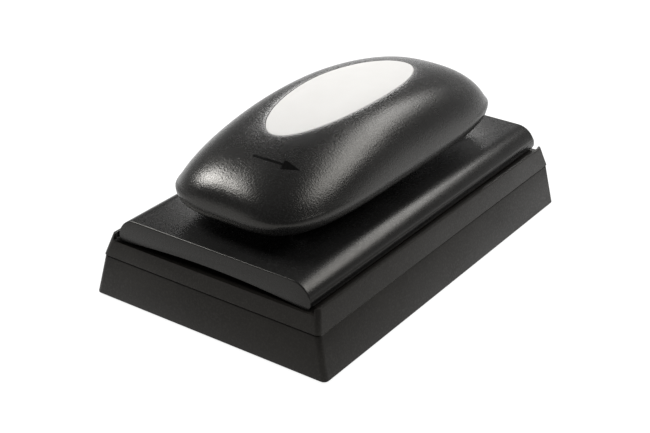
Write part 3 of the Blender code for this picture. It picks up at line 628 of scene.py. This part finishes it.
def make_badge(surface):
    sizes = surface.sizes
    places = [lambda a, p=part: surface.oval_share(a, p, 0.0) for part in
              (0.06, 0.15, 0.25, 0.35, 0.45, 0.55, 0.65, 0.75, 0.85, 0.92, 0.97)]
    for c, s in quarter_turn(5):
        places.append(lambda a, g=-BADGE_ROUND * (1 - s), k=BADGE_ROUND * (1 - c): surface.oval(a, g, k))
    places += [lambda a, p=part: surface.oval_share(a, p, sizes.badge_depth)
               for part in (0.999, 0.9, 0.6, 0.2)]
    bm = wrapped_sphere(places, surface.centre(0.0), surface.centre(sizes.badge_depth))
    add_piece("oval_badge", bm, "handle", material("badge_white"), ["handle_badge"], SMOOTH_ANGLE)


def make_arrow(surface):
    """A plain arrow round the turning axis, let into the end of the handle: it points the way that opens."""
    stations = [(ARROW_TAIL + (ARROW_NECK - ARROW_TAIL) * part, ARROW_SHAFT) for part in spaced(16)]
    stations += [(ARROW_NECK + (ARROW_TIP - ARROW_NECK) * part, ARROW_BARB * (1 - part))
                 for part in (0.0, 0.2, 0.4, 0.6, 0.8, 0.97)]
    bm = bmesh.new()
    bmesh.ops.create_grid(bm, x_segments=len(stations) - 1, y_segments=2, size=1.0)
    for vert in bm.verts:
        angle, half = stations[round((vert.co.x + 1) / 2 * (len(stations) - 1))]
        radius = ARROW_RADIUS + half * round(vert.co.y)
        flat = Vector((radius * math.cos(angle), radius * math.sin(angle), 0.0))
        vert.co = surface.sunk(flat, -ARROW_PROUD)
    points, _ = grown(bm, bm.faces[:])
    bmesh.ops.translate(bm, verts=points, vec=(0.0, 0.0, -ARROW_DEPTH))
    weld(bm)
    bmesh.ops.recalc_face_normals(bm, faces=bm.faces[:])
    add_piece("turn_arrow", bm, "handle", material("arrow_black"))


def make_handle_base():
    add_piece("handle_underside", softened("handle_base", INNER_EDGE), "handle", material("inner_black"),
              ["handle_base"])


# ---------------------------------------------------------------- base and lid
def make_lid(edge):
    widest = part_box("cover_plate")[0].z + LID_WIDEST
    bm = softened("cover_plate", edge * LID_SHARE, 3, LID_ANGLE, widest, LID_SHORTEST)
    add_piece("lid", bm, "base", material("lid_satin"), ["cover_plate"])


def make_rim(edge):
    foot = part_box("skirt")[1].z + RIM_FOOT
    bm = softened("rim_frame", edge * RIM_SHARE, 3, FEATURE_ANGLE, foot, RIM_SHORTEST)
    add_piece("upper_rim", bm, "base", material("base_grain"), ["rim_frame"])


def make_skirt(edge):
    add_piece("flared_skirt", softened("skirt", edge), "base", material("skirt_satin"),
              ["skirt"])


def make_floor_plate():
    add_piece("slotted_floor", softened("pad_carrier", INNER_EDGE), "base", material("inner_black"),
              ["pad_carrier"])


def make_felts():
    """Pads of pressed felt: rounded blocks with an uneven nap, flat where they wipe."""
    nodes = sorted(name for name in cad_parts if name.startswith("felt_strip"))
    for number, node in enumerate(nodes, start=1):
        low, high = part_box(node)
        bm = new_box(low, high)
        bmesh.ops.bevel(bm, geom=bm.edges[:], offset=FELT_ROUND, offset_type="OFFSET", segments=3,
                        profile=0.5, affect="EDGES", material=-1)
        for shortest, longest, cuts in FELT_CUTS:
            edges = [edge for edge in bm.edges if shortest < edge.calc_length() <= longest]
            bmesh.ops.subdivide_edges(bm, edges=edges, cuts=cuts, use_grid_fill=True)
        bm.normal_update()
        for vert in bm.verts:
            sway = noise.noise(vert.co * SWAY_WAVES + Vector((0.0, 0.0, number * 7.0)))
            nap = noise.noise(vert.co * NAP_WAVES)
            vert.co -= vert.normal * (FELT_SHRINK + FELT_SWAY * sway + FELT_NAP * nap)
            vert.co.z = max(vert.co.z, low.z + FELT_FLAT)
        bmesh.ops.recalc_face_normals(bm, faces=bm.faces[:])
        piece = add_piece(f"felt_pad_{number}", bm, "base", material("felt"), [node], 180.0)


# ---------------------------------------------------------------- fasteners and the turning gear
def cross_recess(x, y, low, reach, depth):
    """Cross-shaped cutter that sinks into a head from its face, which is at the given height."""
    arm = reach * RECESS_ARM
    below = 0.001
    bm = bmesh.new()
    outline = []
    for quarter in range(4):
        c, s = round(math.cos(math.pi / 2 * quarter)), round(math.sin(math.pi / 2 * quarter))
        outline += [(along * c - across * s, along * s + across * c)
                    for along, across in ((reach, -arm), (reach, arm), (arm, arm))]
    face = bm.faces.new([bm.verts.new((x + dx, y + dy, low - below)) for dx, dy in outline])
    points, _ = grown(bm, [face])
    bmesh.ops.translate(bm, verts=points, vec=(0.0, 0.0, below + depth))
    bmesh.ops.recalc_face_normals(bm, faces=bm.faces[:])
    return bm


def screw_mesh(node):
    """Pan head with a cross recess and a pointed shank, in the node's own place, head downwards."""
    low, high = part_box(node)
    middle = (low + high) / 2
    head = (high.x - low.x) / 2
    head_height = head * HEAD_HEIGHT
    bm = bmesh.new()
    bmesh.ops.create_cone(bm, cap_ends=True, segments=32, radius1=head, radius2=head, depth=head_height,
                          matrix=Matrix.Translation((middle.x, middle.y, low.z + head_height / 2)))
    rim = [edge for edge in bm.edges if all(vert.co.z < low.z + WELD * 10 for vert in edge.verts)]
    bmesh.ops.bevel(bm, geom=rim, offset=head_height * HEAD_ROUND, offset_type="OFFSET", segments=4,
                    profile=0.5, affect="EDGES", material=-1)
    face = max((f for f in bm.faces if f.normal.z > 0.9), key=lambda f: f.calc_area())
    bmesh.ops.inset_region(bm, faces=[face], thickness=head * (1 - SHANK_RADIUS))
    points, faces = grown(bm, [face])
    bmesh.ops.delete(bm, geom=[face], context="FACES_ONLY")
    bmesh.ops.translate(bm, verts=points, vec=(0.0, 0.0, high.z - low.z - head_height - POINT_LENGTH))
    points, _ = grown(bm, faces)
    bmesh.ops.delete(bm, geom=faces, context="FACES_ONLY")
    for vert in points:
        across = (vert.co.xy - middle.xy) * POINT_SHARE
        vert.co = (middle.x + across.x, middle.y + across.y, high.z)
    weld(bm)
    bmesh.ops.recalc_face_normals(bm, faces=bm.faces[:])
    recess = cross_recess(middle.x, middle.y, low.z, head * RECESS_REACH, head_height * RECESS_DEPTH)
    return cut_by(bm, recess)


def make_screws():
    """One piece for each set of equal screws."""
    for stem, body in (("frame_screw", "base"), ("guide_screw", "base"), ("handle_screw", "handle")):
        nodes = sorted(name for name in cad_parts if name.startswith(stem + "_"))
        together = bmesh.new()
        for node in nodes:
            single = screw_mesh(node)
            mesh = bpy.data.meshes.new("single")
            single.to_mesh(mesh)
            single.free()
            together.from_mesh(mesh)
            bpy.data.meshes.remove(mesh)
        add_piece(f"{stem}s_set", together, body, material("zinc_screw"), nodes)


NODE_FINISHES = {
    "acetal": ("thrust_washer", "spindle_bush", "cam_disc"),
    "grey_acetal": ("latch_bolt_left", "latch_bolt_right", "bolt_guide_left_inner", "bolt_guide_left_outer",
                    "bolt_guide_right_inner", "bolt_guide_right_outer"),
    "bright_steel": ("spindle", "stop_pin", "latch_pin_left", "latch_pin_right", "cam_washer", "wave_spring"),
    "zinc_screw": ("spindle_screw", "cam_screw"),
    "gasket_foam": ("cover_gasket",),
}


def finish_nodes():
    """Gives the nodes whose shape is kept their own finish."""
    for finish, nodes in NODE_FINISHES.items():
        for node in nodes:
            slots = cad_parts[node].data.materials
            slots.clear()
            slots.append(material(finish))


# ---------------------------------------------------------------- studio
def camera_axes(turned, rise):
    back = Vector((math.sin(turned) * math.cos(rise), -math.cos(turned) * math.cos(rise), math.sin(rise)))
    right = Vector((math.cos(turned), math.sin(turned), 0.0))
    return back, right, back.cross(right)


def make_camera(stage):
    back, right, up = camera_axes(stage.view_turn, stage.view_rise)
    place = back * stage.distance + right * stage.slide_right + up * stage.slide_up
    c, s = math.cos(stage.view_roll), math.sin(stage.view_roll)
    axes = (right * c + up * s, up * c - right * s, back)
    data = bpy.data.cameras.new("camera")
    data.sensor_fit = "HORIZONTAL"
    data.sensor_width = 36.0
    data.lens = stage.focal_length
    data.clip_start = 0.01
    camera = bpy.data.objects.new("camera", data)
    camera.matrix_world = Matrix.Translation(place) @ Matrix(axes).transposed().to_4x4()
    bpy.context.scene.collection.objects.link(camera)
    bpy.context.scene.camera = camera


SKY_FADE = ((0.14, 1.0), (0.34, 0.36))      # height of a direction, from 0 to 1, and brightness there
FLOOR_SIZE = 6.0
FLOOR_DROP = 0.0002         # the floor lies this far below the felts
FLOOR_GREY = (0.12, 0.12, 0.12, 1.0)
SOFTBOX_DISTANCE = 1.2
SOFTBOX_AIM = Vector((0.0, 0.0, 0.04))
SOFTBOXES = (       # name, turn and rise in degrees, width and height, and the setting that gives its power
    ("left_softbox", -167.0, 43.0, 0.42, 0.42, "left_light"),
    ("right_softbox", 56.0, 45.0, 1.25, 0.54, "right_light"),
    ("edge_softbox", -148.0, 54.0, 0.36, 0.16, "edge_light"),
    ("back_softbox", 125.0, 26.0, 0.40, 0.30, "back_light"),
)


def softbox(name, turned, rise, width, height, power):
    """A rectangular light that faces the eraser from a direction given like the camera's."""
    back, right, up = camera_axes(math.radians(turned), math.radians(rise))
    data = bpy.data.lights.new(name, "AREA")
    data.shape = "RECTANGLE"
    data.size = width
    data.size_y = height
    data.energy = power
    lamp = bpy.data.objects.new(name, data)
    lamp.matrix_world = Matrix.Translation(back * SOFTBOX_DISTANCE + SOFTBOX_AIM) @ Matrix(
        (right, up, back)).transposed().to_4x4()
    bpy.context.scene.collection.objects.link(lamp)


def make_surroundings(stage):
    """White all round near the horizon and dimmer overhead, as in a tent with its top half closed."""
    world = bpy.data.worlds.new("studio")
    bpy.context.scene.world = world
    world.use_nodes = True
    tree = world.node_tree
    background = tree.nodes["Background"]
    direction = tree.nodes.new("ShaderNodeTexCoord")
    parts = tree.nodes.new("ShaderNodeSeparateXYZ")
    fade = tree.nodes.new("ShaderNodeValToRGB")
    tree.links.new(direction.outputs["Generated"], parts.inputs["Vector"])
    tree.links.new(parts.outputs["Z"], fade.inputs["Fac"])
    tree.links.new(fade.outputs["Color"], background.inputs["Color"])
    for stop, (height, white) in zip(fade.color_ramp.elements, SKY_FADE):
        stop.position = height
        stop.color = (white, white, white, 1.0)
    background.inputs["Strength"].default_value = stage.sky


def make_floor(stage):
    """A pale table that glows a little, just below the felts."""
    bm = bmesh.new()
    bmesh.ops.create_grid(bm, x_segments=1, y_segments=1, size=FLOOR_SIZE)
    bmesh.ops.translate(bm, verts=bm.verts[:], vec=(0.0, 0.0, -FLOOR_DROP))
    mesh = bpy.data.meshes.new("floor")
    bm.to_mesh(mesh)
    bm.free()
    shader = Shader("pale_table", 0.9)
    shader.surface.inputs["Base Color"].default_value = FLOOR_GREY
    shader.surface.inputs["Emission Color"].default_value = (1.0, 1.0, 1.0, 1.0)
    shader.surface.inputs["Emission Strength"].default_value = stage.floor_glow
    mesh.materials.append(shader.material)
    floor = bpy.data.objects.new("floor", mesh)
    bpy.context.scene.collection.objects.link(floor)


# ---------------------------------------------------------------- operators
class ERASER_OT_materials(bpy.types.Operator):
    """Makes the finishes of all the pieces"""
    bl_idname = "eraser.materials"
    bl_label = "Materials"

    def execute(self, context):
        make_materials()
        return {"FINISHED"}


class ERASER_OT_handle(bpy.types.Operator):
    """Moulds the handle, its white badge, its arrow and its underside"""
    bl_idname = "eraser.handle"
    bl_label = "Handle"

    def execute(self, context):
        surface = HandleSurface(settings()[0])
        make_handle_shell(surface)
        make_badge(surface)
        make_arrow(surface)
        make_handle_base()
        return {"FINISHED"}


class ERASER_OT_lid(bpy.types.Operator):
    """Moulds the lid with its rounded edges and its notches"""
    bl_idname = "eraser.lid"
    bl_label = "Lid"

    def execute(self, context):
        make_lid(settings()[0].soft_edge)
        return {"FINISHED"}


class ERASER_OT_base(bpy.types.Operator):
    """Moulds the rim, the skirt and the slotted floor of the base"""
    bl_idname = "eraser.base"
    bl_label = "Base"

    def execute(self, context):
        edge = settings()[0].soft_edge
        make_rim(edge)
        make_skirt(edge)
        make_floor_plate()
        return {"FINISHED"}


class ERASER_OT_felts(bpy.types.Operator):
    """Makes the felt pads under the base"""
    bl_idname = "eraser.felts"
    bl_label = "Felts"

    def execute(self, context):
        make_felts()
        return {"FINISHED"}


class ERASER_OT_fasteners(bpy.types.Operator):
    """Makes the screws with their cross recesses"""
    bl_idname = "eraser.fasteners"
    bl_label = "Fasteners"

    def execute(self, context):
        make_screws()
        return {"FINISHED"}


class ERASER_OT_turning_gear(bpy.types.Operator):
    """Finishes the spindle, the cam, the bolts and the seals"""
    bl_idname = "eraser.turning_gear"
    bl_label = "Turning gear"

    def execute(self, context):
        finish_nodes()
        return {"FINISHED"}


class ERASER_OT_stage(bpy.types.Operator):
    """Sets up the camera, the softboxes, the surroundings and the floor"""
    bl_idname = "eraser.stage"
    bl_label = "Stage"

    def execute(self, context):
        stage = settings()[2]
        context.scene.view_settings.view_transform = "Standard"
        make_camera(stage)
        for *place, power in SOFTBOXES:
            softbox(*place, getattr(stage, power))
        make_surroundings(stage)
        make_floor(stage)
        return {"FINISHED"}


class ERASER_PT_panel(bpy.types.Panel):
    """Lists the steps and the sizes of the eraser"""
    bl_idname = "ERASER_PT_panel"
    bl_label = "Chalkboard eraser"
    bl_space_type = "VIEW_3D"
    bl_region_type = "UI"
    bl_category = "Eraser"

    def draw(self, context):
        for step in STEPS:
            self.layout.operator(step.bl_idname)
        for group in (context.scene.eraser_sizes, context.scene.eraser_finish, context.scene.eraser_stage):
            box = self.layout.box()
            for name in group.__annotations__:
                box.prop(group, name)


GROUPS = {"eraser_sizes": EraserSizes, "eraser_finish": EraserFinish, "eraser_stage": EraserStage}
STEPS = (ERASER_OT_materials, ERASER_OT_handle, ERASER_OT_lid, ERASER_OT_base, ERASER_OT_felts,
         ERASER_OT_fasteners, ERASER_OT_turning_gear, ERASER_OT_stage)


def register():
    for group in (*GROUPS.values(), *STEPS, ERASER_PT_panel):
        bpy.utils.register_class(group)
    for name, group in GROUPS.items():
        setattr(bpy.types.Scene, name, bpy.props.PointerProperty(type=group))


def unregister():
    for name in GROUPS:
        delattr(bpy.types.Scene, name)
    for group in (ERASER_PT_panel, *reversed(STEPS), *GROUPS.values()):
        bpy.utils.unregister_class(group)


def main():
    register()
    bpy.ops.eraser.materials()
    bpy.ops.eraser.handle()
    bpy.ops.eraser.lid()
    bpy.ops.eraser.base()
    bpy.ops.eraser.felts()
    bpy.ops.eraser.fasteners()
    bpy.ops.eraser.turning_gear()
    bpy.ops.eraser.stage()


if __name__ == "__main__":
    main()
